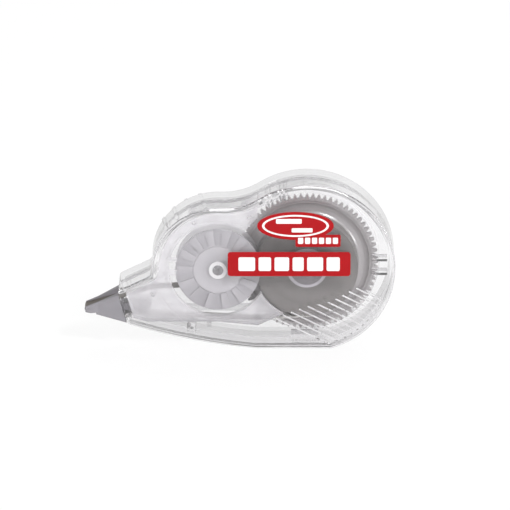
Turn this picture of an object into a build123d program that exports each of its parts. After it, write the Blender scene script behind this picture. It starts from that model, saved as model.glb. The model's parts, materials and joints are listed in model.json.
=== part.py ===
from build123d import *
from math import acos, atan2, cos, degrees, hypot, pi, radians, sin, sqrt, tan
import os

os.makedirs("parts", exist_ok=True)

# Correction tape roller, standing on its narrow bottom edge, in millimetres.
# x runs along the roller with the tip at -x, y is depth with the front face at -y, z is up.
# The origin is the middle of the bottom of the bounding box.

# Overall sizes
length = 90.0            # blade of the tip to the end of the big lobe
depth = 16.0             # front face to back face
wall = 1.5               # case wall
lobe_radius = 25.5       # big lobe, round the supply reel
lobe_z = 24.5
edge_radius = 0.7        # rounding of the case's front and back edges

# Gears
gear_module = 0.56
supply_teeth = 72
takeup_teeth = 20
pressure_angle = radians(20)
backlash_share = 0.07    # of the tooth pitch
centre_distance = gear_module * (supply_teeth + takeup_teeth) / 2

# Axes of the two reels
lobe_x = length / 2 - lobe_radius
supply_x, supply_z = lobe_x, 23.8
takeup_x, takeup_z = supply_x - centre_distance, supply_z
gear_tip_radius = gear_module * (supply_teeth / 2 + 1)

# Case outline
blade_end_x = -length / 2
small_lobe_radius = 19.2     # round the take-up axis
saddle_radius = 20.0         # hollow arc between the two lobes
foot_start_x = takeup_x + 10.76    # left end of the flat that the roller stands on
nose_bottom = (blade_end_x + 12.6, 7.6)
nose_top = (blade_end_x + 9.7, 17.75)
belly_sag = 1.05             # how far the bottom curve hangs below its chord
belly_mid = ((nose_bottom[0] + foot_start_x) / 2, nose_bottom[1] / 2 - belly_sag)
nose_slope = radians(26)     # of the nose's top line
nose_corner_radius = 1.2
neck_radius = 1.8            # hollow corner where the nose leaves the small lobe

# Layers through the depth, as y values
half_depth = depth / 2
front_inside = -half_depth + wall
back_inside = half_depth - wall
parting_y = 0.0
plate_thickness = 1.0
front_plate_gap = 0.6
front_plate_y = front_inside + front_plate_gap          # front face of the front plate
reel_front_y = front_plate_y + plate_thickness
tape_width = 4.2
reel_gap = 0.8                                          # tape to what turns beside it
tape_front_y = reel_front_y + reel_gap
tape_back_y = tape_front_y + tape_width
gear_front_y = tape_back_y + reel_gap
gear_width = 1.5
gear_back_y = gear_front_y + gear_width
chassis_gap = 0.3                                       # gears to the chassis
chassis_front_y = gear_back_y + chassis_gap
chassis_back_y = chassis_front_y + plate_thickness
case_float = 0.1                                        # refill to case, along y
chassis_rim_y = back_inside - case_float

# Lip and groove between the case halves
lip_height = 1.2
lip_gap = 0.05

# Refill plates
plate_clearance = 0.55       # plates to the case's inner wall
window_radius = 14.2         # round window over the take-up reel
plate_bottom_z = 8.0
chassis_radius = gear_tip_radius + 0.49
gear_opening_radius = gear_tip_radius + 0.78    # the front plate stays outside this
rim_thickness = 1.0
plate_bead_width = 0.7       # raised line along the front plate's edge and window
plate_bead_height = 0.3

# Posts, pins and guides
supply_post_radius = 2.0
takeup_post_radius = 1.6
plate_post_radius = 1.1
plate_pin_radius = 0.6
plate_pin_proud = 0.3        # the pins stand this far in front of the front plate
axle_pin_radius = 0.85       # case pins that enter the two reel posts
pin_clearance = 0.05
running_clearance = 0.06
guide_radius = 1.0

# Reels
takeup_flange_radius = 12.3
flange_thickness = 0.9
flange_step_radius = 7.0
flute_count = 14
flute_height = 0.25
takeup_hub_radius = 4.5
used_roll_radius = 5.2
rear_flange_gap = 0.2
rear_flange_thickness = 0.4
spigot_radius = 3.4
spigot_length = 1.0
retainer_ring_radius = 2.6
retainer_thickness = 0.4
tape_roll_radius = 14.8
core_radius = 5.95
core_bore_radius = 4.05
supply_hub_radius = 3.4
clutch_ring_minor = 0.5
clutch_ring_major = 3.5
supply_retainer_radius = 4.9

# Tape path
tape_thickness = 0.15
tape_gap = 0.02
blade_radius = 0.5
blade_z = 10.95
tip_inner_width = tape_width + 0.3

# Printed labels, let in flush with the front face
label_depth = 0.12
label_gap = 0.02
bar_box = (takeup_x + 2.86, takeup_z - 1.3, supply_x + 12.5, supply_z + 6.1)
oval_centre = (supply_x - 3.4, supply_z + 14.1)
oval_radii = (11.0, 4.25)
tail_box = (oval_centre[0], oval_centre[1] - 6.4, oval_centre[0] + 13.0, oval_centre[1] - 2.7)

# Grip ridges
ridge_angle = radians(-27)
ridge_first = (lobe_x - 9.3, lobe_z - 14.6)
ridge_step = (2.33, 0.93)
ridge_count = 11
ridge_width = 0.95
ridge_depth = 0.45
ridge_taper = 30             # slope of the groove's sides, in degrees
ridge_rim = 1.3              # left between the grooves and the case's edge


def level(y):
    """Sketch plane at depth y. Extrusions from it grow towards the front face."""
    return Plane.XZ.offset(-y)


def tangent_run(c1, s1, c2, s2):
    """Straight run between two circles: a positive s lies left of the run, a negative one right."""
    dx, dz = c2[0] - c1[0], c2[1] - c1[1]
    turn = atan2(dz, dx) + acos((s2 - s1) / hypot(dx, dz))
    nx, nz = cos(turn), sin(turn)
    return (c1[0] - s1 * nx, c1[1] - s1 * nz), (c2[0] - s2 * nx, c2[1] - s2 * nz)


def on_circle(centre, radius, angle):
    return (centre[0] + radius * cos(angle), centre[1] + radius * sin(angle))


def bulge(centre, start, end):
    """Point of the short arc from start to end round centre, halfway along."""
    mx, mz = (start[0] + end[0]) / 2 - centre[0], (start[1] + end[1]) / 2 - centre[1]
    radius = hypot(start[0] - centre[0], start[1] - centre[1])
    return (centre[0] + mx * radius / hypot(mx, mz), centre[1] + mz * radius / hypot(mx, mz))


def wall_plane(origin, turn):
    """Plane that touches a round wall where its outward direction is turn."""
    return Plane(origin=origin, x_dir=(-sin(turn), 0, cos(turn)), z_dir=(cos(turn), 0, sin(turn)))


def inset(sketch, amount):
    with BuildSketch() as smaller:
        add(sketch)
        offset(amount=-amount, mode=Mode.REPLACE)
    return smaller.sketch


# ---------------------------------------------------------------- axes, posts and guide
lobe = (lobe_x, lobe_z)
takeup = (takeup_x, takeup_z)
supply = (supply_x, supply_z)
pawl_post = on_circle(supply, gear_tip_radius + 2.48, radians(136.4))
upper_post = on_circle(takeup, window_radius + 1.7, radians(115.9))
film_post = (blade_end_x + 19.9, blade_z + 5.25)
plate_posts = (pawl_post, upper_post, film_post)
guide_x, guide_z = guide = on_circle(takeup, 18.9, radians(-52.3))

# ---------------------------------------------------------------- case outline
foot_end_x = lobe_x + sqrt(lobe_radius**2 - lobe_z**2)
# Centre of the hollow saddle arc, which touches both lobes from above
span = hypot(lobe_x - takeup_x, lobe_z - takeup_z)
reach_small, reach_big = small_lobe_radius + saddle_radius, lobe_radius + saddle_radius
along = (span**2 + reach_small**2 - reach_big**2) / (2 * span)
tilt = atan2(lobe_z - takeup_z, lobe_x - takeup_x)
saddle_turn = tilt + acos(along / reach_small)
saddle = on_circle(takeup, reach_small, saddle_turn)
saddle_right = on_circle(saddle, saddle_radius, atan2(lobe_z - saddle[1], lobe_x - saddle[0]))
saddle_left = on_circle(takeup, small_lobe_radius, saddle_turn)
# The nose's top line runs from nose_top up to the small lobe
run_x, run_z = nose_top[0] - takeup_x, nose_top[1] - takeup_z
slope = (cos(nose_slope), sin(nose_slope))
half_b = run_x * slope[0] + run_z * slope[1]
neck_run = -half_b - sqrt(half_b**2 - (run_x**2 + run_z**2 - small_lobe_radius**2))
neck = (nose_top[0] + neck_run * slope[0], nose_top[1] + neck_run * slope[1])

with BuildSketch() as outline:
    with BuildLine():
        Line((foot_start_x, 0), (foot_end_x, 0))
        foot_turn = atan2(-lobe_z, foot_end_x - lobe_x)
        top_turn = atan2(saddle_right[1] - lobe_z, saddle_right[0] - lobe_x)
        ThreePointArc(
            (foot_end_x, 0),
            on_circle(lobe, lobe_radius, (foot_turn + top_turn) / 2),
            saddle_right,
        )
        ThreePointArc(saddle_right, bulge(saddle, saddle_right, saddle_left), saddle_left)
        ThreePointArc(saddle_left, bulge(takeup, saddle_left, neck), neck)
        Line(neck, nose_top)
        Line(nose_top, nose_bottom)
        ThreePointArc(nose_bottom, belly_mid, (foot_start_x, 0))
    make_face()
    fillet(outline.vertices().sort_by_distance(neck)[0], neck_radius)
    fillet(outline.vertices().sort_by_distance(nose_top)[0], nose_corner_radius)
    fillet(outline.vertices().sort_by_distance(nose_bottom)[0], nose_corner_radius)

inside_outline = inset(outline.sketch, wall)
groove_outline = inset(outline.sketch, wall / 2)
lip_outline = inset(outline.sketch, wall / 2 + lip_gap)
plate_outline = inset(outline.sketch, wall + plate_clearance)

# ---------------------------------------------------------------- both case halves, outside
thumb_ridge_turns = [radians(a) for a in (103, 116, 129, 142)]
thumb_ridge_height = 0.45
thumb_ridge_width = 1.0
thumb_ridge_slant = 8.0

with BuildPart() as case_blank:
    with BuildSketch(level(half_depth)):
        add(outline.sketch)
    extrude(amount=depth)
    fillet(faces().sort_by(Axis.Y)[0].edges(), edge_radius)
    fillet(faces().sort_by(Axis.Y)[-1].edges(), edge_radius)
    # Slanted thumb ridges over the small lobe
    for turn in thumb_ridge_turns:
        px, pz = on_circle(takeup, small_lobe_radius, turn)
        with Locations(wall_plane((px, 0, pz), turn) * Rotation(0, 0, thumb_ridge_slant)):
            Box(thumb_ridge_width, depth - 3 * edge_radius, 2 * thumb_ridge_height)

# The tip comes out through the mouth in the nose's end wall
mouth_front_y = front_inside + 0.9
mouth_back_y = back_inside - 0.9
mouth_edge = 1.5             # left above and below the mouth
mouth_reach = 5.0
end_x, end_z = nose_top[0] - nose_bottom[0], nose_top[1] - nose_bottom[1]
end_length = hypot(end_x, end_z)
end_dir = (end_x / end_length, end_z / end_length)
out_dir = (-end_dir[1], end_dir[0])
mouth_low = (nose_bottom[0] + mouth_edge * end_dir[0], nose_bottom[1] + mouth_edge * end_dir[1])
mouth_high = (nose_top[0] - mouth_edge * end_dir[0], nose_top[1] - mouth_edge * end_dir[1])


def shifted(point, direction, distance):
    return (point[0] + distance * direction[0], point[1] + distance * direction[1])


with BuildSketch() as mouth:
    with BuildLine():
        Polyline(
            shifted(mouth_low, out_dir, mouth_reach),
            shifted(mouth_high, out_dir, mouth_reach),
            shifted(mouth_high, out_dir, -mouth_reach / 2),
            shifted(mouth_low, out_dir, -mouth_reach / 2),
            close=True,
        )
    make_face()

# Snap tongues of the front half, inside the back half's wall
tongue_thickness = 1.0
tongue_gap = 0.1
tongue_reach_y = chassis_front_y - 0.5
horn_x = pawl_post[0] + 2.5          # right end of the front plate's horn over the supply wheel
horn_gap = 0.5
tongue_outer = lobe_radius - wall
top_tongue_turns = (radians(104), acos((horn_x + horn_gap - lobe_x) / tongue_outer))
tongue_rib_turns = (radians(107), radians(110), radians(117), radians(120.5))
tongue_rib_reach = 1.2               # how far the ribs stand in from the tongue
tongue_rib_width = 0.6
foot_tongue_x = (lobe_x - 4.5, lobe_x + 3.5)
catch_window_turn = radians(113)
catch_window = (2.6, 1.5)
boss_centre = (belly_mid[0], belly_mid[1] + 2.45)
boss_radius = 1.4
boss_pin_radius = 0.7
small_pads = ((boss_centre[0] - 3.05, boss_centre[1] + 1.4), (boss_centre[0] + 5.05, boss_centre[1] - 0.6))
pad_size = 1.3


def sector(centre, inner, outer, turn_a, turn_b):
    """Face between two radii and two angles."""
    mid = (turn_a + turn_b) / 2
    inner_a, inner_mid, inner_b = (on_circle(centre, inner, turn) for turn in (turn_a, mid, turn_b))
    outer_a, outer_mid, outer_b = (on_circle(centre, outer, turn) for turn in (turn_a, mid, turn_b))
    with BuildSketch() as face:
        with BuildLine():
            ThreePointArc(inner_a, inner_mid, inner_b)
            Line(inner_b, outer_b)
            ThreePointArc(outer_b, outer_mid, outer_a)
            Line(outer_a, inner_a)
        make_face()
    return face.sketch


# ---------------------------------------------------------------- back_case
case_pin_reach = 1.5         # how far a locating pin stands into its post
seat_width = 1.0
with BuildPart() as back_case:
    add(case_blank.part)
    split(bisect_by=Plane.XZ.offset(-parting_y), keep=Keep.BOTTOM)
    with BuildSketch(level(back_inside)):
        add(inside_outline)
    extrude(amount=back_inside - parting_y, mode=Mode.SUBTRACT)
    # Lip that enters the front half
    with BuildSketch(level(parting_y)):
        add(lip_outline)
        add(inside_outline, mode=Mode.SUBTRACT)
    extrude(amount=lip_height)
    # Mouth for the tip
    with BuildSketch(level(mouth_back_y)):
        add(mouth.sketch)
    extrude(amount=mouth_back_y - mouth_front_y, mode=Mode.SUBTRACT)
    # Locating pins for the refill: three in the plate posts, one in each reel post
    with BuildSketch(level(back_inside)):
        with Locations(*plate_posts):
            Circle(plate_pin_radius)
        with Locations(takeup, supply):
            Circle(axle_pin_radius)
    extrude(amount=back_inside - chassis_back_y + case_pin_reach)
    # Seats under the refill plate round the reel pins
    with BuildSketch(level(back_inside)):
        with Locations(takeup, supply):
            Circle(supply_post_radius + seat_width)
            Circle(axle_pin_radius, mode=Mode.SUBTRACT)
    extrude(amount=back_inside - chassis_back_y - case_float)
    # Boss with a bore for the front half's pin, and two small pads
    with BuildSketch(level(back_inside)):
        with Locations(boss_centre):
            Circle(boss_radius)
            Circle(boss_pin_radius + pin_clearance, mode=Mode.SUBTRACT)
        with Locations(*small_pads):
            Rectangle(pad_size, pad_size)
    extrude(amount=back_inside - parting_y - tongue_gap)
    # Window that the top tongue shows through
    px, pz = on_circle(lobe, lobe_radius, catch_window_turn)
    with Locations(wall_plane((px, tongue_reach_y - catch_window[1] / 2, pz), catch_window_turn)):
        Box(catch_window[0], catch_window[1], 3 * wall, mode=Mode.SUBTRACT)
back_case.part.label = "back_case"
export_step(back_case.part, "parts/back_case.step")


bar_corner = 0.9
tail_corner = 0.5


def rounded_box(corners, radius, grow):
    x0, z0, x1, z1 = corners
    with BuildSketch() as face:
        with Locations(((x0 + x1) / 2, (z0 + z1) / 2)):
            RectangleRounded(x1 - x0 + 2 * grow, z1 - z0 + 2 * grow, radius + grow)
    return face.sketch


def oval_with_tail(grow):
    with BuildSketch() as face:
        with Locations(oval_centre):
            Ellipse(oval_radii[0] + grow, oval_radii[1] + grow)
        add(rounded_box(tail_box, tail_corner, grow))
    return face.sketch


# ---------------------------------------------------------------- front_case
rear_rib_x = (length / 2 - 6.9, length / 2 - 2.4)
rear_rib_z = (lobe_z + 2.8, lobe_z - 1.4)
rear_rib_thickness = 1.2
rear_rib_height = 3.0
ring_rib_radii = (18.0, 18.9)
ring_rib_turns = (radians(202), radians(247))
ring_rib_height = 0.2

with BuildPart() as front_case:
    add(case_blank.part)
    split(bisect_by=Plane.XZ.offset(-parting_y), keep=Keep.TOP)
    with BuildSketch(level(parting_y)):
        add(inside_outline)
    extrude(amount=parting_y - front_inside, mode=Mode.SUBTRACT)
    # Groove for the back half's lip
    with BuildSketch(level(parting_y)):
        add(groove_outline)
    extrude(amount=lip_height + tongue_gap, mode=Mode.SUBTRACT)
    with BuildSketch(level(mouth_back_y)):
        add(mouth.sketch)
    extrude(amount=mouth_back_y - mouth_front_y, mode=Mode.SUBTRACT)
    # Shallow pockets that the printed labels fill
    with BuildSketch(level(-half_depth)):
        add(rounded_box(bar_box, bar_corner, label_gap))
        add(oval_with_tail(label_gap))
    extrude(amount=-label_depth, mode=Mode.SUBTRACT)
    # Grip ridge field: round-ended grooves that run down to the rim
    with BuildSketch(level(-half_depth)):
        ux, uz = cos(ridge_angle), sin(ridge_angle)
        for i in range(ridge_count):
            sx = ridge_first[0] + i * ridge_step[0]
            sz = ridge_first[1] + i * ridge_step[1]
            rx, rz = sx - lobe_x, sz - lobe_z
            half_way = rx * ux + rz * uz
            rim = lobe_radius - ridge_rim - ridge_width / 2
            run = -half_way + sqrt(half_way**2 - (rx**2 + rz**2 - rim**2))
            with Locations(Location((sx + run * ux / 2, sz + run * uz / 2), degrees(ridge_angle))):
                SlotOverall(run, ridge_width)
    extrude(amount=-ridge_depth, taper=ridge_taper, mode=Mode.SUBTRACT)
    # Top tongue: joined to the wall as far as the groove, then free
    with BuildSketch(level(-lip_height - 2 * tongue_gap)):
        add(sector(lobe, tongue_outer - tongue_thickness, tongue_outer + wall / 4, *top_tongue_turns))
    extrude(amount=-lip_height - 2 * tongue_gap - front_inside)
    with BuildSketch(level(tongue_reach_y)):
        add(sector(lobe, tongue_outer - tongue_thickness, tongue_outer - tongue_gap, *top_tongue_turns))
    extrude(amount=tongue_reach_y - front_inside)
    with BuildSketch(level(tongue_reach_y)):
        half_rib = tongue_rib_width / 2 / tongue_outer
        inner = tongue_outer - tongue_thickness
        for turn in tongue_rib_turns:
            add(sector(lobe, inner - tongue_rib_reach, inner, turn - half_rib, turn + half_rib))
    extrude(amount=tongue_reach_y - front_inside)
    # Foot tongue, the same way along the flat
    tongue_mid_x = sum(foot_tongue_x) / 2
    tongue_span = foot_tongue_x[1] - foot_tongue_x[0]
    with BuildSketch(level(-lip_height - 2 * tongue_gap)):
        with Locations((tongue_mid_x, wall + tongue_thickness / 2 - wall / 8)):
            Rectangle(tongue_span, tongue_thickness + wall / 4)
    extrude(amount=-lip_height - 2 * tongue_gap - front_inside)
    with BuildSketch(level(tongue_reach_y)):
        with Locations((tongue_mid_x, wall + (tongue_thickness + tongue_gap) / 2)):
            Rectangle(tongue_span, tongue_thickness - tongue_gap)
    extrude(amount=tongue_reach_y - front_inside)
    # Two short ribs at the rear end
    with BuildSketch(level(front_inside + rear_rib_height)):
        for rib_z in rear_rib_z:
            with Locations((sum(rear_rib_x) / 2, rib_z)):
                Rectangle(rear_rib_x[1] - rear_rib_x[0], rear_rib_thickness)
    extrude(amount=rear_rib_height)
    # Curved rib that carries the small lobe's line on below the refill
    with BuildSketch(level(front_inside + ring_rib_height)):
        add(sector(takeup, *ring_rib_radii, *ring_rib_turns))
    extrude(amount=ring_rib_height)
    # Boss and its pin, which enters the back half's bore
    front_boss_y = parting_y - lip_height - tongue_gap
    with BuildSketch(level(front_boss_y)):
        with Locations(boss_centre):
            Circle(boss_radius)
    extrude(amount=front_boss_y - front_inside)
    with BuildSketch(level(parting_y + 3 * boss_pin_radius)):
        with Locations(boss_centre):
            Circle(boss_pin_radius)
    extrude(amount=parting_y + 3 * boss_pin_radius - front_boss_y)
front_case.part.label = "front_case"
export_step(front_case.part, "parts/front_case.step")

# White marks on the labels: plain blocks and a thin oval ring, let in flush
mark_depth = 0.06
block_widths = (4.8, 3.6, 4.2, 3.2, 4.6, 3.8)
block_height = 4.2
block_gap = 1.0
block_corner = 0.5
oval_ring_radii = ((9.6, 3.35), (8.9, 2.85))
oval_bars = (                # left, bottom, right and top from the oval's centre
    (-5.6, 0.65, 1.8, 2.1),
    (-1.1, -2.0, 4.9, -0.7),
)
tail_block_count = 6
tail_block = (1.5, 1.9)
tail_block_pitch = 2.0
small_corner = 0.3


def bar_marks_face():
    with BuildSketch() as face:
        span = sum(block_widths) + block_gap * (len(block_widths) - 1)
        x = (bar_box[0] + bar_box[2] - span) / 2
        mid_z = (bar_box[1] + bar_box[3]) / 2
        for width in block_widths:
            with Locations((x + width / 2, mid_z)):
                RectangleRounded(width, block_height, block_corner)
            x += width + block_gap
    return face.sketch


def oval_marks_face():
    with BuildSketch() as face:
        with Locations(oval_centre):
            Ellipse(*oval_ring_radii[0])
            Ellipse(*oval_ring_radii[1], mode=Mode.SUBTRACT)
        for x0, z0, x1, z1 in oval_bars:
            cx, cz = oval_centre
            add(rounded_box((cx + x0, cz + z0, cx + x1, cz + z1), small_corner, 0))
        with Locations(((tail_box[0] + tail_box[2]) / 2, (tail_box[1] + tail_box[3]) / 2)):
            with GridLocations(tail_block_pitch, 0, tail_block_count, 1):
                RectangleRounded(*tail_block, small_corner)
    return face.sketch


def label(name, ground, marks):
    with BuildPart() as piece:
        with BuildSketch(level(-half_depth + label_depth)):
            add(ground)
        extrude(amount=label_depth)
        with BuildSketch(level(-half_depth + mark_depth)):
            add(marks)
        extrude(amount=mark_depth, mode=Mode.SUBTRACT)
    piece.part.label = name
    export_step(piece.part, "parts/" + name + ".step")


def print_marks(name, marks):
    with BuildPart() as piece:
        with BuildSketch(level(-half_depth + mark_depth)):
            add(marks)
        extrude(amount=mark_depth)
    piece.part.label = name
    export_step(piece.part, "parts/" + name + ".step")


label("label_bar", rounded_box(bar_box, bar_corner, 0), bar_marks_face())
label("label_oval", oval_with_tail(0), oval_marks_face())
print_marks("bar_marks", bar_marks_face())
print_marks("oval_marks", oval_marks_face())

# ---------------------------------------------------------------- refill plates
reel_zone_x = supply_x       # the plates fill the case from the nose to here
tip_centre_y = (tape_front_y + tape_back_y) / 2


def corner_box(x0, z0, x1, z1):
    with BuildSketch() as face:
        with Locations(((x0 + x1) / 2, (z0 + z1) / 2)):
            Rectangle(x1 - x0, z1 - z0)
    return face.sketch


with BuildSketch() as chassis_outline:
    add(corner_box(-length / 2, plate_bottom_z, reel_zone_x, length))
    with Locations(supply):
        Circle(chassis_radius)
    add(plate_outline, mode=Mode.INTERSECT)

# The tip's tongue lies between two ribs on the chassis
tongue_x = (blade_end_x + 11.4, blade_end_x + 19.4)
tongue_z = (blade_z - 0.05, blade_z + 2.05)
tongue_width = tip_inner_width - 0.1
tongue_fit = 0.1
socket_rib_thickness = 0.6
socket_rib_x = (tongue_x[0] + 1.4, tongue_x[1] - 0.4)

retainer_gap = 0.1
supply_post_end_y = tape_front_y - 1.2
supply_retainer_y = supply_post_end_y + 0.3
supply_retainer_thickness = 0.5
supply_hub_front_y = supply_retainer_y + supply_retainer_thickness + retainer_gap
core_front_y = supply_hub_front_y + retainer_gap
takeup_post_end_y = front_inside + 0.25
post_bore_depth = 3.0

with BuildPart() as cartridge_back_plate:
    with BuildSketch(level(chassis_back_y)):
        add(chassis_outline.sketch)
    extrude(amount=plate_thickness)
    with BuildSketch(level(chassis_rim_y)):
        add(chassis_outline.sketch)
        add(inset(chassis_outline.sketch, rim_thickness), mode=Mode.SUBTRACT)
        with Locations(*plate_posts):
            Circle(plate_pin_radius + pin_clearance, mode=Mode.SUBTRACT)
    extrude(amount=chassis_rim_y - chassis_back_y)
    # Posts for the front plate, each with a thin pin on top
    with BuildSketch(level(chassis_front_y)):
        with Locations(*plate_posts):
            Circle(plate_post_radius)
    extrude(amount=chassis_front_y - reel_front_y)
    with BuildSketch(level(reel_front_y)):
        with Locations(*plate_posts):
            Circle(plate_pin_radius)
    extrude(amount=plate_thickness + plate_pin_proud)
    # Reel posts
    with BuildSketch(level(chassis_front_y)):
        with Locations(supply):
            Circle(supply_post_radius)
    extrude(amount=chassis_front_y - supply_post_end_y)
    with BuildSketch(level(chassis_front_y)):
        with Locations(takeup):
            Circle(takeup_post_radius)
    extrude(amount=chassis_front_y - takeup_post_end_y)
    # Ribs above and below the tip's tongue
    rib_low_z = tongue_z[0] - tongue_fit - socket_rib_thickness
    rib_high_z = tongue_z[1] + tongue_fit
    with BuildSketch(level(chassis_front_y)):
        for rib_z in (rib_low_z, rib_high_z):
            add(corner_box(socket_rib_x[0], rib_z, socket_rib_x[1], rib_z + socket_rib_thickness))
    extrude(amount=chassis_front_y - tip_centre_y + tongue_width / 2)
    # Bores for the case's locating pins
    with BuildSketch(level(chassis_back_y)):
        with Locations(*plate_posts):
            Circle(plate_pin_radius + pin_clearance)
        with Locations(takeup, supply):
            Circle(axle_pin_radius + pin_clearance)
    extrude(amount=case_pin_reach + chassis_gap, mode=Mode.SUBTRACT)
    # The take-up post is hollow from the front as well
    with BuildSketch(level(takeup_post_end_y + post_bore_depth)):
        with Locations(takeup):
            Circle(takeup_post_radius / 2)
    extrude(amount=post_bore_depth, mode=Mode.SUBTRACT)
cartridge_back_plate.part.label = "cartridge_back_plate"
export_step(cartridge_back_plate.part, "parts/cartridge_back_plate.step")

guide_margin = 2.0           # from the guide post's centre to the plate's edge
window_collar = 0.8          # width and height of the ring behind the window's edge
guide_length = gear_front_y - chassis_gap - reel_front_y
tab_x = (takeup_x - window_radius - 0.44, takeup_x - takeup_flange_radius + 0.56)
tab_z = ((takeup_z + 2.8, takeup_z + 3.8), (takeup_z - 1.4, takeup_z + 0.2))
tab_thickness = 0.4
# Corner of the front plate that reaches over the supply wheel as far as the roll
roll_opening_radius = tape_roll_radius + 0.3
corner_turns = (radians(-117), radians(-137), radians(-160))
corner_overlap = 1.5
window_turn = radians(-40)


def front_corner(edge):
    """The corner's outline, before the roll's opening is cut from it."""
    inner_radius = roll_opening_radius - corner_overlap
    with BuildSketch() as corner:
        with BuildLine():
            Polyline(
                (takeup_x, plate_bottom_z),
                (guide_x, guide_z - guide_margin),
                on_circle(supply, roll_opening_radius, corner_turns[0]),
                on_circle(supply, inner_radius, corner_turns[1]),
                on_circle(supply, inner_radius, corner_turns[2]),
                on_circle(takeup, window_radius - corner_overlap, window_turn),
                close=True,
            )
        make_face()
        offset(amount=-edge)
        with Locations(supply):
            Circle(roll_opening_radius + edge, mode=Mode.SUBTRACT)
    return corner.sketch


def front_plate_face(edge):
    """Face of the front plate, with its edges moved in by edge."""
    with BuildSketch() as face:
        add(corner_box(-length / 2, plate_bottom_z + edge, horn_x - edge, length))
        add(inset(outline.sketch, wall + plate_clearance + edge), mode=Mode.INTERSECT)
        with Locations(supply):
            Circle(gear_opening_radius + edge, mode=Mode.SUBTRACT)
        add(front_corner(edge))
        with Locations(takeup):
            Circle(window_radius + edge, mode=Mode.SUBTRACT)
    return face.sketch


with BuildPart() as cartridge_front_plate:
    with BuildSketch(level(reel_front_y)):
        add(front_plate_face(0))
    extrude(amount=plate_thickness)
    # Collar behind the window's edge, where the plate is wide enough
    with BuildSketch(level(reel_front_y + window_collar)):
        with Locations(takeup):
            Circle(window_radius + window_collar)
            Circle(window_radius, mode=Mode.SUBTRACT)
        add(front_plate_face(0), mode=Mode.INTERSECT)
        with Locations(*plate_posts):
            Circle(plate_post_radius + pin_clearance, mode=Mode.SUBTRACT)
    extrude(amount=window_collar)
    # Raised line in front, along the plate's edge and round the window
    with BuildSketch(level(front_plate_y)):
        add(front_plate_face(0))
        add(front_plate_face(plate_bead_width), mode=Mode.SUBTRACT)
    extrude(amount=plate_bead_height)
    # Guide post that the fresh tape runs under
    with BuildSketch(level(reel_front_y + guide_length)):
        with Locations((guide_x, guide_z)):
            Circle(guide_radius)
    extrude(amount=guide_length)
    # Small tabs that hold the take-up flange in its window
    with BuildSketch(level(front_plate_y)):
        for low, high in tab_z:
            add(corner_box(tab_x[0], low, tab_x[1], high))
    extrude(amount=tab_thickness)
    with BuildSketch(level(reel_front_y)):
        with Locations(*plate_posts):
            Circle(plate_pin_radius + pin_clearance)
    extrude(amount=plate_thickness, mode=Mode.SUBTRACT)
cartridge_front_plate.part.label = "cartridge_front_plate"
export_step(cartridge_front_plate.part, "parts/cartridge_front_plate.step")


# ---------------------------------------------------------------- gears
def tooth(teeth):
    """One involute tooth pointing along +x from the gear's centre, with its foot inside the rim."""
    pitch_radius = gear_module * teeth / 2
    base_radius = pitch_radius * cos(pressure_angle)
    root_radius = pitch_radius - 1.25 * gear_module
    tip_radius = pitch_radius + gear_module
    half_tooth = (0.5 - backlash_share) * pi / teeth

    def edge(radius):
        flank = acos(min(1.0, base_radius / radius))
        start = tan(pressure_angle) - pressure_angle
        return half_tooth + start - (tan(flank) - flank)

    low = max(root_radius, base_radius)
    mid = (low + tip_radius) / 2
    foot = root_radius - 0.3 * gear_module    # the foot lies inside the rim
    low_a, mid_a, tip_a = (on_circle((0, 0), r, edge(r)) for r in (low, mid, tip_radius))
    low_b, mid_b, tip_b = (on_circle((0, 0), r, -edge(r)) for r in (low, mid, tip_radius))
    foot_a, foot_b = on_circle((0, 0), foot, edge(low)), on_circle((0, 0), foot, -edge(low))
    with BuildSketch() as face:
        with BuildLine():
            Line(foot_b, low_b)
            ThreePointArc(low_b, mid_b, tip_b)
            ThreePointArc(tip_b, (tip_radius, 0), tip_a)
            ThreePointArc(tip_a, mid_a, low_a)
            Line(low_a, foot_a)
            Line(foot_a, foot_b)
        make_face()
    return face.sketch


def gear_face(centre, teeth, first_turn):
    with BuildSketch() as face:
        with Locations(centre):
            Circle(gear_module * (teeth / 2 - 1.25))
            with PolarLocations(0, teeth, start_angle=first_turn):
                add(tooth(teeth))
    return face.sketch


hub_groove_width = 1.2
hub_groove_radius = clutch_ring_major - clutch_ring_minor - 0.05
hub_groove_y = (core_front_y + tape_back_y) / 2
gear_root_radius = gear_module * (supply_teeth / 2 - 1.25)
rim_groove_radius = gear_root_radius - 0.7
rim_groove_width = 0.3
rim_groove_depth = 0.3
dish_radii = (tape_roll_radius + 0.3, gear_root_radius - 1.2)    # hollow ring outside the tape
dish_depth = 0.6
web_recess_radii = (6.5, 15.2)
web_recess_depth = 0.5

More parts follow.
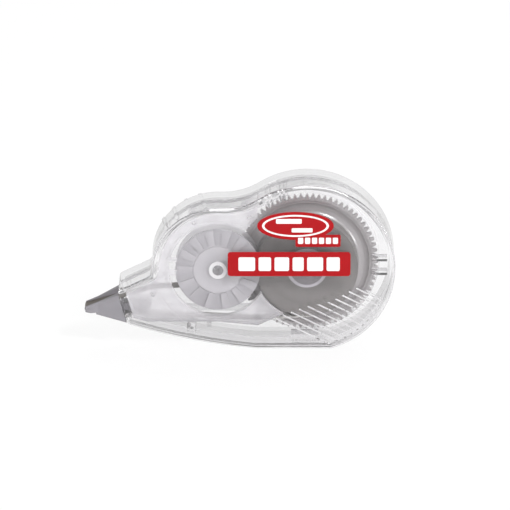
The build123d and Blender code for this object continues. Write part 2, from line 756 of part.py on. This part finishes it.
with BuildPart() as supply_gear:
    with BuildSketch(level(gear_back_y)):
        add(gear_face(supply, supply_teeth, 0))
    extrude(amount=gear_width)
    with BuildSketch(level(gear_front_y)):
        with Locations(supply):
            Circle(supply_hub_radius)
    extrude(amount=gear_front_y - supply_hub_front_y)
    # Fine groove near the rim, in front
    with BuildSketch(level(gear_front_y)):
        with Locations(supply):
            Circle(rim_groove_radius + rim_groove_width / 2)
            Circle(rim_groove_radius - rim_groove_width / 2, mode=Mode.SUBTRACT)
    extrude(amount=-rim_groove_depth, mode=Mode.SUBTRACT)
    # Hollow ring between the tape and the rim, round in section
    with BuildSketch(Plane.XY.offset(supply_z)):
        with BuildLine():
            dish_start, dish_end = (supply_x + radius for radius in dish_radii)
            dish_mid = (dish_start + dish_end) / 2
            dish_floor = (dish_mid, gear_front_y + dish_depth)
            ThreePointArc((dish_start, gear_front_y), dish_floor, (dish_end, gear_front_y))
            Line((dish_end, gear_front_y), (dish_start, gear_front_y))
        make_face()
    revolve(axis=Axis((supply_x, 0, supply_z), (0, 1, 0)), mode=Mode.SUBTRACT)
    # Shallow recess behind the web
    with BuildSketch(level(gear_back_y)):
        with Locations(supply):
            Circle(web_recess_radii[1])
            Circle(web_recess_radii[0], mode=Mode.SUBTRACT)
    extrude(amount=web_recess_depth, mode=Mode.SUBTRACT)
    # Groove for the clutch ring
    with BuildSketch(level(hub_groove_y + hub_groove_width / 2)):
        with Locations(supply):
            Circle(supply_hub_radius)
            Circle(hub_groove_radius, mode=Mode.SUBTRACT)
    extrude(amount=hub_groove_width, mode=Mode.SUBTRACT)
    with BuildSketch(level(gear_back_y)):
        with Locations(supply):
            Circle(supply_post_radius + running_clearance)
    extrude(amount=gear_back_y - supply_hub_front_y, mode=Mode.SUBTRACT)
supply_gear.part.label = "supply_gear"
export_step(supply_gear.part, "parts/supply_gear.step")

with BuildPart() as clutch_ring:
    with Locations(Plane(origin=(supply_x, hub_groove_y, supply_z), x_dir=(1, 0, 0), z_dir=(0, -1, 0))):
        Torus(clutch_ring_major, clutch_ring_minor)
clutch_ring.part.label = "clutch_ring"
export_step(clutch_ring.part, "parts/clutch_ring.step")

notch_count = 6
notch_width = 0.9
notch_depth = 0.6
core_back_y = tape_back_y + 0.1
with BuildPart() as supply_core:
    with BuildSketch(level(core_back_y)):
        with Locations(supply):
            Circle(core_radius)
            Circle(core_bore_radius, mode=Mode.SUBTRACT)
    extrude(amount=core_back_y - core_front_y)
    with BuildSketch(level(core_front_y)):
        with Locations(supply):
            with PolarLocations(core_bore_radius, notch_count):
                Rectangle(notch_width, notch_width)
    extrude(amount=-notch_depth, mode=Mode.SUBTRACT)
supply_core.part.label = "supply_core"
export_step(supply_core.part, "parts/supply_core.step")


def ring(name, centre, outer, inner, back_y, thickness):
    with BuildPart() as piece:
        with BuildSketch(level(back_y)):
            with Locations(centre):
                Circle(outer)
                Circle(inner, mode=Mode.SUBTRACT)
        extrude(amount=thickness)
    piece.part.label = name
    export_step(piece.part, "parts/" + name + ".step")


ring("tape_roll", supply, tape_roll_radius, core_radius, tape_back_y, tape_width)
ring(
    "supply_retainer", supply, supply_retainer_radius, supply_post_radius,
    supply_retainer_y + supply_retainer_thickness, supply_retainer_thickness,
)
ring("used_tape_roll", takeup, used_roll_radius, takeup_hub_radius, tape_back_y, tape_width)
ring(
    "takeup_retainer", takeup, retainer_ring_radius, takeup_post_radius,
    takeup_post_end_y + retainer_thickness, retainer_thickness,
)

# ---------------------------------------------------------------- take-up reel
rear_flange_front_y = tape_back_y + rear_flange_gap
rear_flange_back_y = rear_flange_front_y + rear_flange_thickness
takeup_bore_radius = takeup_post_radius + running_clearance
with BuildPart() as takeup_reel:
    with BuildSketch(level(gear_back_y)):
        add(gear_face(takeup, takeup_teeth, 180 / takeup_teeth))
    extrude(amount=gear_back_y - rear_flange_back_y)
    with BuildSketch(level(rear_flange_back_y)):
        with Locations(takeup):
            Circle(takeup_flange_radius)
    extrude(amount=rear_flange_thickness)
    with BuildSketch(level(rear_flange_front_y)):
        with Locations(takeup):
            Circle(takeup_hub_radius)
    extrude(amount=rear_flange_front_y - reel_front_y)
    with BuildSketch(level(reel_front_y)):
        with Locations(takeup):
            Circle(spigot_radius + pin_clearance)
    extrude(amount=-spigot_length - pin_clearance, mode=Mode.SUBTRACT)
    with BuildSketch(level(gear_back_y)):
        with Locations(takeup):
            Circle(takeup_bore_radius)
    extrude(amount=gear_back_y - reel_front_y, mode=Mode.SUBTRACT)
takeup_reel.part.label = "takeup_reel"
export_step(takeup_reel.part, "parts/takeup_reel.step")

flute_margin = 0.3
flute_inner = flange_step_radius + flute_margin
flute_outer = takeup_flange_radius - flute_margin
with BuildPart() as takeup_flange:
    with BuildSketch(level(reel_front_y)):
        with Locations(takeup):
            Circle(takeup_flange_radius)
    extrude(amount=flange_thickness - flute_height)
    with BuildSketch(level(reel_front_y - flange_thickness + flute_height)):
        with Locations(takeup):
            Circle(flange_step_radius)
        half_flute = pi / (2 * flute_count)
        for i in range(flute_count):
            turn = 2 * pi * i / flute_count
            add(sector(takeup, flute_inner, flute_outer, turn - half_flute, turn + half_flute))
    extrude(amount=flute_height)
    with BuildSketch(level(reel_front_y + spigot_length)):
        with Locations(takeup):
            Circle(spigot_radius)
    extrude(amount=spigot_length)
    with BuildSketch(level(reel_front_y + spigot_length)):
        with Locations(takeup):
            Circle(takeup_bore_radius)
    extrude(amount=spigot_length + flange_thickness, mode=Mode.SUBTRACT)
takeup_flange.part.label = "takeup_flange"
export_step(takeup_flange.part, "parts/takeup_flange.step")

# ---------------------------------------------------------------- tape path
film_radius_gap = tape_gap + tape_thickness / 2
blade_x = blade_end_x + blade_radius + tape_gap + tape_thickness
blade = (blade_x, blade_z)
roll_gap = 0.05
roll_run = tape_roll_radius + roll_gap + tape_thickness / 2
used_run = used_roll_radius + roll_gap + tape_thickness / 2
blade_run = blade_radius + film_radius_gap
guide_run = guide_radius + film_radius_gap
post_run = plate_post_radius + film_radius_gap
leave_roll, meet_guide = tangent_run(supply, -roll_run, guide, -guide_run)
leave_guide, meet_blade = tangent_run(guide, -guide_run, blade, -blade_run)
blade_front = (blade_x - blade_run, blade_z)
leave_blade, meet_post = tangent_run(blade, -blade_run, film_post, -post_run)
leave_post, meet_reel = tangent_run(film_post, -post_run, takeup, used_run)

with BuildPart() as feed_tape:
    with BuildSketch(level(tape_back_y)):
        with BuildLine():
            Line(leave_roll, meet_guide)
            ThreePointArc(meet_guide, bulge(guide, meet_guide, leave_guide), leave_guide)
            Line(leave_guide, meet_blade)
            ThreePointArc(meet_blade, bulge(blade, meet_blade, blade_front), blade_front)
        trace(line_width=tape_thickness)
    extrude(amount=tape_width)
feed_tape.part.label = "feed_tape"
export_step(feed_tape.part, "parts/feed_tape.step")

with BuildPart() as return_tape:
    with BuildSketch(level(tape_back_y)):
        with BuildLine():
            ThreePointArc(blade_front, bulge(blade, blade_front, leave_blade), leave_blade)
            Line(leave_blade, meet_post)
            ThreePointArc(meet_post, bulge(film_post, meet_post, leave_post), leave_post)
            Line(leave_post, meet_reel)
        trace(line_width=tape_thickness)
    extrude(amount=tape_width)
return_tape.part.label = "return_tape"
export_step(return_tape.part, "parts/return_tape.step")

# ---------------------------------------------------------------- tip
tip_gap = 0.3                # tip to the case's nose
tip_sections = (             # x, bottom z, top z, width
    (blade_end_x + 12.4, nose_bottom[1] + 0.05, nose_top[1] - 0.45, tip_inner_width + 6.1),
    (blade_end_x + 4.0, blade_z - 1.65, blade_z + 2.35, tip_inner_width + 1.7),
    (blade_end_x + 0.25, blade_z - 0.95, blade_z + 0.8, tip_inner_width + 1.1),
)
tip_corner = 0.6
tip_step = (                 # notch under the front end, from the blade's end and height
    (3.8, -2.95),
    (3.3, -0.85),
    (1.4, -1.15),
    (-0.5, -0.85),
    (-1.0, -2.95),
)
web_gap = 0.1                # web to the tape that runs over it
web_end_x = tongue_x[0]
feed_slope = (leave_guide[1] - meet_blade[1]) / (leave_guide[0] - meet_blade[0])
return_slope = (meet_post[1] - leave_blade[1]) / (meet_post[0] - leave_blade[0])


def feed_z(x):
    return meet_blade[1] + feed_slope * (x - meet_blade[0])


def return_z(x):
    return leave_blade[1] + return_slope * (x - leave_blade[0])


with BuildPart() as tip:
    for x, low, high, width in tip_sections:
        section = Plane(origin=(x, tip_centre_y, (low + high) / 2), x_dir=(0, 1, 0), z_dir=(1, 0, 0))
        with BuildSketch(section):
            RectangleRounded(width, high - low, tip_corner)
    loft(ruled=True)
    # Slanted end that faces the nose
    with BuildSketch(level(half_depth)):
        with BuildLine():
            Polyline(
                shifted(shifted(nose_bottom, end_dir, -length), out_dir, tip_gap),
                shifted(shifted(nose_top, end_dir, length), out_dir, tip_gap),
                shifted(shifted(nose_top, end_dir, length), out_dir, -length),
                shifted(shifted(nose_bottom, end_dir, -length), out_dir, -length),
                close=True,
            )
        make_face()
    extrude(amount=depth, mode=Mode.SUBTRACT)
    # Step under the front end
    with BuildSketch(level(half_depth)):
        with BuildLine():
            Polyline(*[(blade_end_x + x, blade_z + z) for x, z in tip_step], close=True)
        make_face()
    extrude(amount=depth, mode=Mode.SUBTRACT)
    # Open channel between the side walls
    with BuildSketch(level(tip_centre_y + tip_inner_width / 2)):
        add(corner_box(-length, 0, 0, 2 * blade_z))
    extrude(amount=tip_inner_width, mode=Mode.SUBTRACT)
    # Web between the two runs of tape, ending in the rounded blade
    with BuildSketch(level(tip_centre_y + tip_inner_width / 2)):
        with BuildLine():
            Polyline(
                (blade_x, feed_z(blade_x) + web_gap),
                (web_end_x, feed_z(web_end_x) + tape_thickness / 2 + web_gap),
                (web_end_x, return_z(web_end_x) - tape_thickness / 2 - web_gap),
                (blade_x, blade_z + blade_radius),
                close=True,
            )
        make_face()
        with Locations(blade):
            Circle(blade_radius)
    extrude(amount=tip_inner_width)
    # Tongue that plugs into the chassis
    with BuildSketch(level(tip_centre_y + tongue_width / 2)):
        round_end = (tongue_z[1] - tongue_z[0]) / 2
        add(corner_box(tongue_x[0], tongue_z[0], tongue_x[1] - round_end, tongue_z[1]))
        with Locations((tongue_x[1] - round_end, sum(tongue_z) / 2)):
            Circle(round_end)
    extrude(amount=tongue_width)
tip.part.label = "tip"
export_step(tip.part, "parts/tip.step")

# ---------------------------------------------------------------- ratchet_pawl
pawl_ring_radius = 2.0
pawl_side_gap = 0.05
pawl_outline = (             # height over the gear's teeth, angle round the gear
    (1.9, radians(124.2)),
    (1.2, radians(121.2)),
    (0.18, radians(124.2)),
    (0.9, radians(126.2)),
    (1.2, radians(132.2)),
)
with BuildPart() as ratchet_pawl:
    with BuildSketch(level(gear_back_y - pawl_side_gap)):
        with BuildLine():
            Polyline(
                (pawl_post[0], pawl_post[1] + pawl_ring_radius),
                *[on_circle(supply, gear_tip_radius + height, turn) for height, turn in pawl_outline],
                close=True,
            )
        make_face()
        with Locations(pawl_post):
            Circle(pawl_ring_radius)
            Circle(plate_post_radius + running_clearance, mode=Mode.SUBTRACT)
    extrude(amount=gear_width - 2 * pawl_side_gap)
ratchet_pawl.part.label = "ratchet_pawl"
export_step(ratchet_pawl.part, "parts/ratchet_pawl.step")
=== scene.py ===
import json
from math import cos, pi, radians, sin

import bpy
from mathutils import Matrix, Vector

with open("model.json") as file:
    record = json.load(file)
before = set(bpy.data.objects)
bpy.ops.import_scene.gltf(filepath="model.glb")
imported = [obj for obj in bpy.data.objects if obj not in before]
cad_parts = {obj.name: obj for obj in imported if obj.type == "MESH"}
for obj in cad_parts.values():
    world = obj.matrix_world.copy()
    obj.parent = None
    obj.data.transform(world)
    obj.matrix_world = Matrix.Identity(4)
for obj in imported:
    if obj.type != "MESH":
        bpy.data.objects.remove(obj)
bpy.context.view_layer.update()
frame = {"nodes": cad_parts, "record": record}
scene = bpy.context.scene
MM = 0.001

# Axes of the two reels
joints = {joint["name"]: joint for joint in frame["record"]["behaviour"]["joints"]}
SUPPLY = joints["gear_spin"]["pos_m"]
TAKEUP = joints["takeup_spin"]["pos_m"]

# Plastics
PLASTIC_IOR = 1.5
GEAR_IOR = 2.0                        # gives the gear a stronger sweep of light
EDGE_SHADE = (0.62, 0.98)                # facing values at which the painted shade on a clear wall starts and is darkest
LOW_SHADE_HEIGHTS = (7.5 * MM, 11.5 * MM)      # heights over which the painted shade low on the refill's plates fades from grey to their colour
FLUTES = 14                           # on the take-up flange
FLUTE_TURN = 0.25                     # of a flute, from the X axis
FLUTE_START = (6.8 * MM, 7.8 * MM)    # radii over which the painted shading of the flutes fades in
HUB_SHADE = (2.6 * MM, 6.2 * MM)      # radii over which the painted shade round the hub fades out

# Room
FLOOR_GLOW = 0.85
FLOOR_HALF = 3.0
FLOOR_DROP = 0.2 * MM
WORLD_LIGHT = 0.5                     # what the room adds to the lamps' light
ROOM_DARK = 0.03                      # the room in front of the roller, as gloss shows it
BEHIND = (-0.3, 0.3)                  # Y of a direction, over which the room turns from dark to white
HORIZON = (0.12, 0.42)                # Z of a direction, over which the white behind fades out
PANELS = ((-0.55, -0.6, 0.58), (0.5, -0.55, 0.67), (0.0, 0.25, 0.97))    # directions of the soft panels
PANEL_EDGE = (0.86, 0.93)             # how nearly a direction meets a panel's, at its soft edge

# Camera: aimed near the middle of the front face, looking down from in front
AIM = (4.47 * MM, 0.0, 26.1 * MM)
ELEVATION = radians(20)
DISTANCE = 1.2
FRAME_WIDTH = 147.9 * MM              # width of the view at the roller
SENSOR_WIDTH = 36.0
CLIP = (0.05, 20.0)                   # nearest and farthest that the camera sees

LAMPS = (                             # name, place, size in metres, watts
    ("key", (0.55, -0.65, 0.85), 0.25, 7.0),
    ("side", (0.9, -0.4, 0.19), 0.16, 2.5),
    ("fill", (-0.8, -0.6, 0.6), 0.8, 3.0),
    ("back", (0.2, 0.8, 0.8), 0.8, 4.0),
)

MAX_BOUNCES = 32
CLEAR_BOUNCES = 24                    # enough to cross both halves of the case and all that lies between


# ---------------------------------------------------------------- material helpers
class Recipe:
    """A material or world and its node tree, with short calls for the nodes that the finishes share."""

    def __init__(self, name, kind="Material"):
        makers = {"Material": bpy.data.materials, "World": bpy.data.worlds}
        self.owner = makers[kind].new(name)
        self.owner.use_nodes = True
        self.tree = self.owner.node_tree
        self.tree.nodes.clear()
        self.output = self.node("ShaderNodeOutput" + kind)

    def node(self, kind, inputs=None, **settings):
        made = self.tree.nodes.new(kind)
        for key, value in settings.items():
            setattr(made, key, value)
        for key, value in (inputs or {}).items():
            if isinstance(value, bpy.types.NodeSocket):
                self.tree.links.new(value, made.inputs[key])
            else:
                made.inputs[key].default_value = value
        return made

    def coords(self, centre=(0, 0, 0), stretch=(1, 1, 1)):
        """Object coordinates with their origin at centre."""
        place = self.node("ShaderNodeTexCoord").outputs["Object"]
        shift = self.node("ShaderNodeVectorMath", {0: place, 1: centre}, operation="SUBTRACT").outputs[0]
        return self.node("ShaderNodeVectorMath", {0: shift, 1: stretch}, operation="MULTIPLY").outputs[0]

    def noise(self, vector, scale, detail=2.0):
        inputs = {"Vector": vector, "Scale": scale, "Detail": detail}
        return self.node("ShaderNodeTexNoise", inputs).outputs[0]

    def line_noise(self, value, scale, detail):
        """Noise that changes only with one value, such as the distance from an axis."""
        inputs = {"W": value, "Scale": scale, "Detail": detail}
        return self.node("ShaderNodeTexNoise", inputs, noise_dimensions="1D").outputs[0]

    def ramp(self, value, low, high, to_low=0.0, to_high=1.0, smooth=False):
        kind = "SMOOTHSTEP" if smooth else "LINEAR"
        inputs = {"Value": value, "From Min": low, "From Max": high, "To Min": to_low, "To Max": to_high}
        return self.node("ShaderNodeMapRange", inputs, interpolation_type=kind).outputs[0]

    def math(self, kind, a, b=0.0):
        return self.node("ShaderNodeMath", {0: a, 1: b}, operation=kind).outputs[0]

    def weighted(self, first, first_weight, second, second_weight):
        return self.math(
            "ADD",
            self.math("MULTIPLY", first, first_weight),
            self.math("MULTIPLY", second, second_weight),
        )

    def blend(self, share, first, second):
        """Colour that goes from first to second as share goes from 0 to 1."""
        return self.node("ShaderNodeMix", {0: share, 6: first, 7: second}, data_type="RGBA").outputs[2]

    def bump(self, height, strength, distance):
        inputs = {"Height": height, "Strength": strength, "Distance": distance}
        return self.node("ShaderNodeBump", inputs).outputs[0]

    def facing(self, weight=0.5):
        """0 where a surface is seen straight on, 1 where it is seen along its face."""
        return self.node("ShaderNodeLayerWeight", {"Blend": weight}).outputs["Facing"]

    def flow_lines(self):
        """Faint streaks that the plastic leaves along the roller when it fills the mould."""
        return self.noise(self.coords(stretch=(0.4, 1, 1)), 260.0, 3.0)

    def radius(self, centre):
        """Distance from the axis through centre that runs through the thickness."""
        flat = self.coords(centre, (1, 0, 1))
        return self.node("ShaderNodeVectorMath", {0: flat}, operation="LENGTH").outputs["Value"]

    def mix(self, share, first, second):
        return self.node("ShaderNodeMixShader", {0: share, 1: first, 2: second}).outputs[0]

    def finish(self, shader):
        self.tree.links.new(shader, self.output.inputs["Surface"])
        return self.owner


def grey(value):
    return (value, value, value, 1.0)


def lamps_pass(recipe, shader, tint):
    """Light from the lamps and the room goes straight through, so that what the wall encloses is lit."""
    path = recipe.node("ShaderNodeLightPath")
    clear = recipe.node("ShaderNodeBsdfTransparent", {"Color": tint}).outputs[0]
    lit = recipe.mix(path.outputs["Is Diffuse Ray"], shader, clear)
    return recipe.mix(path.outputs["Is Shadow Ray"], lit, clear)


# ---------------------------------------------------------------- materials
def clear_styrene():
    """Polished clear plastic, faintly grey and darkened edge-on by painted shade, with slight flow lines
    from moulding.
    """
    r = Recipe("clear_styrene")
    colour = r.blend(r.flow_lines(), (0.9, 0.895, 0.905, 1), (0.965, 0.96, 0.968, 1))
    # Painted shade: the colour turns dark grey edge-on, standing in for the dark outlines of the clear
    # walls.
    colour = r.blend(r.ramp(r.facing(), *EDGE_SHADE, smooth=True), colour, (0.12, 0.115, 0.12, 1))
    wave = r.bump(r.noise(r.coords(), 150.0, 1.0), 0.12, 0.5 * MM)
    glass = r.node("ShaderNodeBsdfPrincipled", {"Base Color": colour, "Normal": wave})
    glass.inputs["Transmission Weight"].default_value = 1.0
    glass.inputs["Roughness"].default_value = 0.015
    glass.inputs["IOR"].default_value = PLASTIC_IOR
    return r.finish(lamps_pass(r, glass.outputs[0], (0.96, 0.955, 0.962, 1)))


def thin_clear():
    """Clear plastic that bends no light: its faces are faint, and painted shade makes its edges read as grey
    lines.
    """
    r = Recipe("thin_clear")
    edge = r.ramp(r.facing(), 0.5, 1.0)
    body = r.weighted(edge, 0.75, r.flow_lines(), 0.08)
    # Painted shade: the colour turns near black edge-on.
    colour = r.blend(edge, (0.6, 0.59, 0.61, 1), grey(0.1))
    shell = r.node("ShaderNodeBsdfPrincipled", {"Base Color": colour, "Alpha": body})
    shell.inputs["Roughness"].default_value = 0.05
    shell.inputs["IOR"].default_value = PLASTIC_IOR
    return r.finish(shell.outputs[0])


def milky_plastic(name, least, most):
    """Translucent plastic, greyed low down by painted shade. Its opacity goes from least, face on, to most,
    edge on.
    """
    r = Recipe(name)
    cloud = r.noise(r.coords(stretch=(1, 1, 2)), 130.0, 3.0)
    body = r.weighted(r.ramp(r.facing(0.4), 0.1, 0.95, least, most), 1.0, cloud, 0.1)
    colour = r.blend(r.ramp(cloud, 0.3, 0.7), (0.78, 0.77, 0.79, 1), (0.92, 0.91, 0.93, 1))
    height = r.node("ShaderNodeSeparateXYZ", {0: r.coords()}).outputs["Z"]
    # Painted shade: the colour goes grey below these heights.
    colour = r.blend(r.ramp(height, *LOW_SHADE_HEIGHTS, smooth=True), (0.5, 0.49, 0.51, 1), colour)
    shell = r.node("ShaderNodeBsdfPrincipled", {"Base Color": colour, "Alpha": body})
    shell.inputs["Roughness"].default_value = 0.16
    shell.inputs["IOR"].default_value = PLASTIC_IOR
    return r.finish(shell.outputs[0])


def grey_tip_plastic():
    """Smoky plastic of the tip, with painted shade that makes its rounded edges darker than its faces."""
    r = Recipe("grey_tip_plastic")
    facing = r.facing()
    cloud = r.noise(r.coords(), 220.0, 3.0)
    # Painted shade darkens the edges by viewing angle, mixed with a random cloud of tone.
    edge = r.weighted(r.ramp(facing, 0.35, 0.95, smooth=True), 1.0, cloud, 0.25)
    colour = r.blend(edge, (0.36, 0.345, 0.375, 1), (0.12, 0.115, 0.12, 1))
    body = r.ramp(facing, 0.0, 1.0, 0.86, 0.99)
    shell = r.node("ShaderNodeBsdfPrincipled", {"Base Color": colour, "Alpha": body})
    shell.inputs["Roughness"].default_value = 0.3
    return r.finish(shell.outputs[0])


def turned_plastic(name, centre, light, dark, ring_pitch, roughness, ior=PLASTIC_IOR):
    """Moulded disc with fine rings round its axis, which draw the highlight out into a fan."""
    r = Recipe(name)
    rings = r.line_noise(r.radius(centre), 1.0 / ring_pitch, 2.0)
    wave = r.bump(rings, 0.5, 0.12 * MM)
    shell = r.node("ShaderNodeBsdfPrincipled", {"Base Color": r.blend(rings, dark, light), "Normal": wave})
    shell.inputs["Roughness"].default_value = roughness
    shell.inputs["IOR"].default_value = ior
    return r.finish(shell.outputs[0])


def fluted_plastic_painted_shade():
    """Flange of the take-up reel, with painted shading: each flute is coloured from light to dark round the
    axis, and painted shade darkens it next to the hub.
    """
    r = Recipe("fluted_plastic_painted_shade")
    radius = r.radius(TAKEUP)
    place = r.node("ShaderNodeSeparateXYZ", {0: r.coords(TAKEUP)}).outputs
    turn = r.math("MULTIPLY", r.math("ARCTAN2", place["Z"], place["X"]), FLUTES / (2 * pi))
    turn = r.math("ADD", turn, FLUTE_TURN)
    uneven = r.line_noise(r.math("FLOOR", turn), 3.7, 0.0)
    # Painted shading: light to dark across each flute, with a random tone for each flute.
    flutes = r.weighted(r.math("FRACT", turn), 0.5, uneven, 0.5)
    painted_flute_shade = r.math("MULTIPLY", flutes, r.ramp(radius, *FLUTE_START, smooth=True))
    painted_hub_shade = r.ramp(radius, *HUB_SHADE, 0.35, 0.0, smooth=True)
    colour = r.blend(r.math("ADD", painted_flute_shade, painted_hub_shade), (0.54, 0.53, 0.55, 1), (0.35, 0.34, 0.36, 1))
    shell = r.node("ShaderNodeBsdfPrincipled", {"Base Color": colour})
    shell.inputs["Roughness"].default_value = 0.25
    return r.finish(shell.outputs[0])


def wound_tape():
    """Side of the wound tape: fine rings over slower, wider ones."""
    r = Recipe("wound_tape")
    radius = r.radius(SUPPLY)
    rings = r.line_noise(radius, 6000.0, 3.0)
    mixed = r.weighted(rings, 0.6, r.line_noise(radius, 500.0, 1.0), 0.4)
    colour = r.blend(r.ramp(mixed, 0.3, 0.7), (0.165, 0.155, 0.15, 1), (0.235, 0.222, 0.215, 1))
    wave = r.bump(rings, 0.4, 0.06 * MM)
    shell = r.node("ShaderNodeBsdfPrincipled", {"Base Color": colour, "Normal": wave})
    shell.inputs["Roughness"].default_value = 0.42
    return r.finish(shell.outputs[0])


def plain_plastic(name, light, dark, roughness, shine=0.5):
    r = Recipe(name)
    cloud = r.noise(r.coords(), 300.0, 3.0)
    shell = r.node("ShaderNodeBsdfPrincipled", {"Base Color": r.blend(cloud, dark, light)})
    shell.inputs["Roughness"].default_value = roughness
    shell.inputs["Specular IOR Level"].default_value = shine
    return r.finish(shell.outputs[0])


def paper_strip(name, light, dark, roughness):
    r = Recipe(name)
    fibre = r.noise(r.coords(stretch=(0.3, 1, 1)), 700.0, 4.0)
    wave = r.bump(fibre, 0.2, 0.04 * MM)
    shell = r.node("ShaderNodeBsdfPrincipled", {"Base Color": r.blend(fibre, dark, light), "Normal": wave})
    shell.inputs["Roughness"].default_value = roughness
    return r.finish(shell.outputs[0])


finishes = {
    "clear_case": clear_styrene(),
    "milky_plate": milky_plastic("milky_plastic", 0.4, 0.85),
    "grey_tip": grey_tip_plastic(),
    "gear_grey": turned_plastic(
        "gear_plastic", SUPPLY, (0.40, 0.38, 0.382, 1), (0.32, 0.305, 0.307, 1), 0.5 * MM, 0.2, GEAR_IOR
    ),
    "core_lilac": turned_plastic(
        "core_plastic", SUPPLY, (0.62, 0.6, 0.64, 1), (0.55, 0.53, 0.57, 1), 1.2 * MM, 0.25
    ),
    "white_plastic": plain_plastic("white_plastic", grey(0.88), grey(0.8), 0.25),
    "wound_tape": wound_tape(),
    "white_tape": paper_strip("coated_tape", (0.85, 0.84, 0.81, 1), (0.74, 0.73, 0.7, 1), 0.6),
    "carrier_film": paper_strip("carrier_film", (0.14, 0.12, 0.1, 1), (0.08, 0.07, 0.06, 1), 0.35),
    "clutch_rubber": plain_plastic("clutch_rubber", grey(0.03), grey(0.015), 0.7),
    "red_print": plain_plastic("red_ink", (0.44, 0.004, 0.008, 1), (0.37, 0.003, 0.006, 1), 0.35, 0.2),
    "white_print": plain_plastic("white_ink", grey(0.92), grey(0.86), 0.4, 0.2),
}

# Nodes whose finish differs from the others in their slot
finishes_by_node = {
    "cartridge_back_plate": milky_plastic("frosted_plastic", 0.04, 0.5),
    "back_case": thin_clear(),
    "takeup_flange": fluted_plastic_painted_shade(),
    "takeup_reel": milky_plastic("reel_milk", 0.35, 0.8),
    "supply_retainer": turned_plastic(
        "retainer_plastic", SUPPLY, (0.3, 0.28, 0.3, 1), (0.2, 0.185, 0.2, 1), 1.2 * MM, 0.2
    ),
}

for part in frame["record"]["subparts"]:
    finish = finishes_by_node.get(part["node"]) or finishes[part["material_slot"]]
    for slot in frame["nodes"][part["node"]].material_slots:
        slot.material = finish


# ---------------------------------------------------------------- room
def seen(recipe):
    """1 for rays that show a surface: from the camera, off a gloss or through glass."""
    path = recipe.node("ShaderNodeLightPath")
    bounced = recipe.math("MAXIMUM", path.outputs["Is Glossy Ray"], path.outputs["Is Transmission Ray"])
    return recipe.math("MAXIMUM", path.outputs["Is Camera Ray"], bounced)


def floor_finish():
    """White paper that still takes the roller's soft shadow."""
    r = Recipe("studio_paper")
    white = r.blend(r.noise(r.coords(), 4.0), grey(0.94), grey(0.96))
    paper = r.node("ShaderNodeBsdfDiffuse", {"Color": white})
    glow = r.node("ShaderNodeEmission", {"Color": grey(1.0), "Strength": 1.0})
    share = r.math("MULTIPLY", seen(r), FLOOR_GLOW)
    return r.finish(r.mix(share, paper.outputs[0], glow.outputs[0]))


def make_floor():
    half = FLOOR_HALF
    mesh = bpy.data.meshes.new("floor")
    corners = [(-half, -half, 0), (half, -half, 0), (half, half, 0), (-half, half, 0)]
    mesh.from_pydata(corners, [], [(0, 1, 2, 3)])
    mesh.materials.append(floor_finish())
    made = bpy.data.objects.new("floor", mesh)
    scene.collection.objects.link(made)
    made.location.z = -FLOOR_DROP


def make_world():
    """White behind the roller and through it. Gloss shows a dim room in front, with three soft panels."""
    r = Recipe("studio", "World")
    path = r.node("ShaderNodeLightPath").outputs
    towards = r.node("ShaderNodeTexCoord").outputs["Generated"]
    parts = r.node("ShaderNodeSeparateXYZ", {0: towards}).outputs
    behind = r.ramp(parts["Y"], *BEHIND, smooth=True)
    low = r.ramp(parts["Z"], *HORIZON, 1.0, 0.0, smooth=True)
    room = r.math("MAXIMUM", r.math("MULTIPLY", behind, low), ROOM_DARK)
    for direction in PANELS:
        facing = r.node("ShaderNodeVectorMath", {0: towards, 1: direction}, operation="DOT_PRODUCT")
        panel = r.ramp(facing.outputs["Value"], *PANEL_EDGE, smooth=True)
        room = r.math("MAXIMUM", room, panel)
    mirrored = r.math("MINIMUM", path["Glossy Depth"], 1.0)
    shown = r.blend(mirrored, grey(1.0), r.blend(room, grey(0.0), grey(1.0)))
    lit = r.node("ShaderNodeBackground", {"Color": grey(1.0), "Strength": WORLD_LIGHT})
    backdrop = r.node("ShaderNodeBackground", {"Color": shown, "Strength": 1.0})
    scene.world = r.finish(r.mix(seen(r), lit.outputs[0], backdrop.outputs[0]))


def make_lamp(name, place, size, watts):
    data = bpy.data.lights.new(name, "AREA")
    data.size = size
    data.energy = watts
    made = bpy.data.objects.new(name, data)
    scene.collection.objects.link(made)
    made.location = place
    towards = Vector(AIM) - Vector(place)
    made.rotation_euler = towards.to_track_quat("-Z", "Y").to_euler()


def make_camera():
    data = bpy.data.cameras.new("camera")
    data.sensor_width = SENSOR_WIDTH
    data.lens = SENSOR_WIDTH * DISTANCE / FRAME_WIDTH
    data.clip_start, data.clip_end = CLIP
    made = bpy.data.objects.new("camera", data)
    scene.collection.objects.link(made)
    made.location = (AIM[0], AIM[1] - DISTANCE * cos(ELEVATION), AIM[2] + DISTANCE * sin(ELEVATION))
    made.rotation_euler = (radians(90) - ELEVATION, 0, 0)
    scene.camera = made


make_camera()
make_floor()
make_world()
for lamp in LAMPS:
    make_lamp(*lamp)

scene.view_settings.view_transform = "Standard"
scene.cycles.max_bounces = MAX_BOUNCES
scene.cycles.transmission_bounces = CLEAR_BOUNCES
scene.cycles.glossy_bounces = CLEAR_BOUNCES
scene.cycles.transparent_max_bounces = CLEAR_BOUNCES
